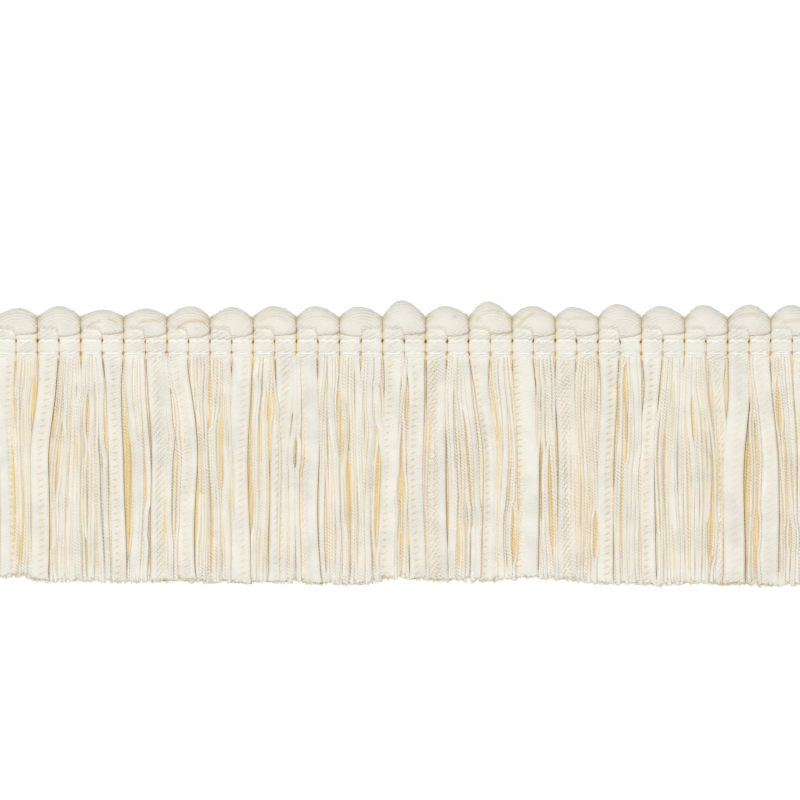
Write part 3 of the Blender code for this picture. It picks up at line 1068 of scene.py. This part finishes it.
class Fringe:
    """Gathers the strands that hang from each loop."""

    def __init__(self, trim, rows):
        self.trim = trim
        self.rows = rows
        self.legs = sorted(rows)
        self.leans = [rows[leg]["lean"] * MM for leg in self.legs]
        self.tapes = [Surface() for _ in range(LOOP_COUNT)]
        self.yarns = [Surface() for _ in range(LOOP_COUNT)]

    def lean_at(self, x):
        """Return how far the fringe drifts sideways under a place."""
        leg = (x - self.trim.leg_x(0)) / LEG_PITCH
        return float(np.interp(leg, self.legs, self.leans))

    def loop_at(self, x):
        """Return the loop that a place hangs from."""
        place = (x - self.trim.loop_x(0)) / LOOP_PITCH + 0.5
        return min(max(int(place), 0), LOOP_COUNT - 1)

    def fray(self, x, end, half_width, half_height, count, thickest=FIBRE_RADIUS):
        """Add the loose fibres of one cut end."""
        surface = self.yarns[self.loop_at(x)]
        add_cut_fibres(surface, end, half_width, half_height, count, thickest)

    def hang_yarn(self, top_x, low_x, height, shade):
        """Hang one yarn and fray its cut end."""
        shade += rng.uniform(-0.05, 0.14)
        surface = self.yarns[self.loop_at(top_x)]
        end, radius = add_yarn(surface, self.trim, top_x, low_x, height, max(shade, 0))
        count = DEEP_YARN_FIBRES if shade > DEEP_SHADE else YARN_FIBRES
        self.fray(top_x, end, 1.3 * radius, 0.7 * radius, count)

    def hang_tapes(self):
        """Hang each front tape, with a yarn along each of its edges."""
        for row in self.rows.values():
            surface = self.tapes[row["leg"] // 2]
            end, width = add_tape(surface, self.trim, row)
            top_x = self.trim.leg_x(row["leg"])
            size = (width / 2, TAPE_THICKNESS / 2)
            self.fray(top_x, end, *size, TAPE_FIBRES, TAPE_FIBRE_RADIUS)
            # Each edge yarn carries painted golden shade, like the gap beside a tape.
            for side in (-0.5, 0.5):
                edge_x = top_x + side * 0.97 * width
                low_x = edge_x + row["lean"] * MM
                self.hang_yarn(edge_x, low_x, EDGE_YARN_HEIGHT, rng.uniform(0.1, 0.5))

    def free_spans(self):
        """Return the top and low ends of each stretch between two front tapes."""
        last = self.trim.leg_x(2 * LOOP_COUNT - 0.5)
        spans = []
        top = low = self.trim.leg_x(-0.5)
        for leg in self.legs:
            row = self.rows[leg]
            centre = self.trim.leg_x(leg)
            half = row["width"] * MM / 2
            low_centre = centre + row["lean"] * MM
            spans.append((top, centre - LEG_PITCH / 2, low, low_centre - half))
            top = centre + LEG_PITCH / 2
            low = low_centre + half
        spans.append((top, last, low, last))
        return spans

    def hang_front_yarns(self):
        """Fill each stretch between two tapes with yarns and narrow tapes."""
        for top_left, top_right, low_left, low_right in self.free_spans():
            free = low_right - low_left
            if free < 0.4 * MM:
                continue
            widths = self.mixed_widths(free)
            narrow = max(0.0, 0.6 * MM - (top_right - top_left)) / 2
            top_left -= narrow
            top_right += narrow
            edges = np.concatenate(((0.0,), np.cumsum(widths))) / sum(widths)
            for order, width in enumerate(widths):
                share = (edges[order] + edges[order + 1]) / 2
                top_x = top_left + (top_right - top_left) * share
                drift = rng.gauss(0, YARN_DRIFT if rng.random() < 0.3 else 0.3 * YARN_DRIFT)
                low_x = low_left + free * share + drift
                height = FRONT_HEIGHT + (0.14 if order % 2 else 0.0) * MM
                height += rng.uniform(-0.1, 0.06) * MM + 0.3 * min(abs(drift), 0.8 * MM)
                if width > FRONT_YARN_PITCH:
                    self.hang_band(top_x, low_x, height, width)
                else:
                    self.hang_yarn(top_x, low_x, height, FRONT_SHADE)

    def mixed_widths(self, free):
        """Return a seeded run of strand widths that fills a stretch."""
        widths = []
        while sum(widths) < free - 0.2 * MM:
            if rng.random() < NARROW_TAPE_SHARE:
                widths.append(rng.uniform(0.8, 1.5) * MM)
            else:
                widths.append(FRONT_YARN_PITCH)
        return widths

    def hang_band(self, top_x, low_x, height, width):
        """Hang a narrow tape among the yarns."""
        surface = self.tapes[self.loop_at(top_x)]
        looks = (width, BAND_THICKNESS, FRONT_SHADE)
        end = add_flat_band(surface, self.trim, top_x, low_x, height, *looks)
        self.fray(top_x, end, width / 2, BAND_THICKNESS / 2, BAND_FIBRES)

    def hang_layers(self):
        """Hang the yarns and backing tapes that lie behind the front ones."""
        for leg in range(2 * LOOP_COUNT):
            has_tape = leg in self.rows
            layers = UNDER_TAPE_LAYERS if has_tape else UNDER_YARN_LAYERS
            for height, count, shade, follow in layers:
                for order in range(count):
                    share = (order + 0.5 + rng.uniform(-0.2, 0.2)) / count - 0.5
                    top_x = self.trim.leg_x(leg) + share * LEG_PITCH
                    low_x = top_x + self.lean_at(top_x) * follow
                    jitter = rng.uniform(-0.1, 0.1) * MM
                    self.hang_yarn(top_x, low_x, height + jitter, shade)
            if not has_tape:
                x = self.trim.leg_x(leg)
                add_flat_band(self.tapes[leg // 2], self.trim, x, x, *BACKING_TAPE)


def hang_fringe(trim, rows, materials):
    """Build the tapes, yarns and cut fibres under every loop."""
    fringe = Fringe(trim, rows)
    fringe.hang_tapes()
    fringe.hang_front_yarns()
    fringe.hang_layers()
    made = []
    for loop in range(LOOP_COUNT):
        number = f"{loop + 1:02d}"
        tapes = fringe.tapes[loop].build(f"knit_tapes_{number}", materials["tape"])
        yarns = fringe.yarns[loop].build(f"twisted_yarns_{number}", materials["yarn"])
        made.append([tapes, yarns])
    return made


def build_heading(trim, loop, materials):
    """Build one loop's dome and its two stitched legs."""
    dome = Surface()
    add_dome(dome, trim, loop)
    legs = Surface()
    for leg in (2 * loop, 2 * loop + 1):
        add_leg(legs, trim, leg)
    number = f"{loop + 1:02d}"
    return [
        dome.build(f"loop_dome_{number}", materials["dome"]),
        legs.build(f"stitched_legs_{number}", materials["leg"]),
    ]


def add_camera(trim):
    """Look straight down on the face, as the photograph does."""
    data = bpy.data.cameras.new("camera")
    camera = add_object("camera", data)
    x = trim.middle_x + (PHOTO_CENTRE_PX - MIDDLE_LOOP_PX) * PIXEL
    y = trim.y((PHOTO_CENTRE_PX - ARCH_LINE_PX) * PIXEL)
    camera.location = (x, y, FRONT_HEIGHT + CAMERA_HEIGHT)
    data.sensor_width = SENSOR
    data.lens = SENSOR * CAMERA_HEIGHT / PHOTO_SIDE
    data.clip_start, data.clip_end = CAMERA_CLIP
    bpy.context.scene.camera = camera


def add_light(name, place, size, power):
    """Add one soft area light that points at the trim."""
    data = bpy.data.lights.new(name, "AREA")
    data.shape = "DISK"
    data.size = size
    data.energy = power
    light = add_object(name, data)
    light.location = place
    direction = Vector((0, 0, 0)) - Vector(place)
    light.rotation_euler = direction.to_track_quat("-Z", "Y").to_euler()


def add_studio():
    """Add the pale floor, the soft lights and an even white surround."""
    data = bpy.data.meshes.new("floor")
    half = FLOOR_HALF
    corners = [(-half, -half, 0), (half, -half, 0), (half, half, 0), (-half, half, 0)]
    data.from_pydata(corners, [], [(0, 1, 2, 3)])
    data.materials.append(floor_material())
    floor = add_object("floor", data)

    world = bpy.data.worlds.new("surround")
    bpy.context.scene.world = world
    world.use_nodes = True
    background = world.node_tree.nodes["Background"]
    background.inputs["Color"].default_value = (1, 1, 1, 1)
    background.inputs["Strength"].default_value = SURROUND_STRENGTH
    for light in LIGHTS:
        add_light(*light)
    bpy.context.scene.view_settings.view_transform = "Standard"


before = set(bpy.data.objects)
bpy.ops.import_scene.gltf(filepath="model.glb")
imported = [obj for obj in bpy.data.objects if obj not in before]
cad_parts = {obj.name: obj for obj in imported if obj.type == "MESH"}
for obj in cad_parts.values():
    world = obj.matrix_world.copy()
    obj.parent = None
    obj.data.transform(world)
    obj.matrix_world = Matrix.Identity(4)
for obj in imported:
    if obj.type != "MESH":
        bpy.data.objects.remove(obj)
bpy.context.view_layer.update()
trim = Trim()
materials = {
    "dome": yarn_material("cotton_turned_loop", "rib", LOOP_CREAM, TAN, GOLDEN_BROWN),
    "leg": yarn_material("cotton_stitched_leg", "rib", LEG_CREAM),
    "tape": yarn_material("cotton_knit_tape", "rib", TAPE_CREAM, SOFT_OCHRE, SOFT_OCHRE),
    "yarn": yarn_material("cotton_twisted_yarn", "ply", YARN_CREAM),
    "thread": yarn_material("sewing_thread", "thread", THREAD_WHITE, CREAM, OCHRE, 0.5),
}
tape_rows = {values[0]: dict(zip(TAPE_COLUMNS, values)) for values in FRONT_TAPES}

hung = hang_fringe(trim, tape_rows, materials)
for loop in range(LOOP_COUNT):
    for piece in build_heading(trim, loop, materials) + hung[loop]:
        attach(piece, "root")
        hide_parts(f"turned_bundle_{loop + 1:02d}")

for row_name, drop in (("upper", UPPER_STITCH_DROP), ("lower", LOWER_STITCH_DROP)):
    stitches = Surface()
    add_stitches(stitches, trim, drop)
    thread = stitches.build(f"stitch_row_{row_name}", materials["thread"])
    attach(thread, "root")
    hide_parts(f"lock_stitch_{row_name}")

add_studio()
add_camera(trim)
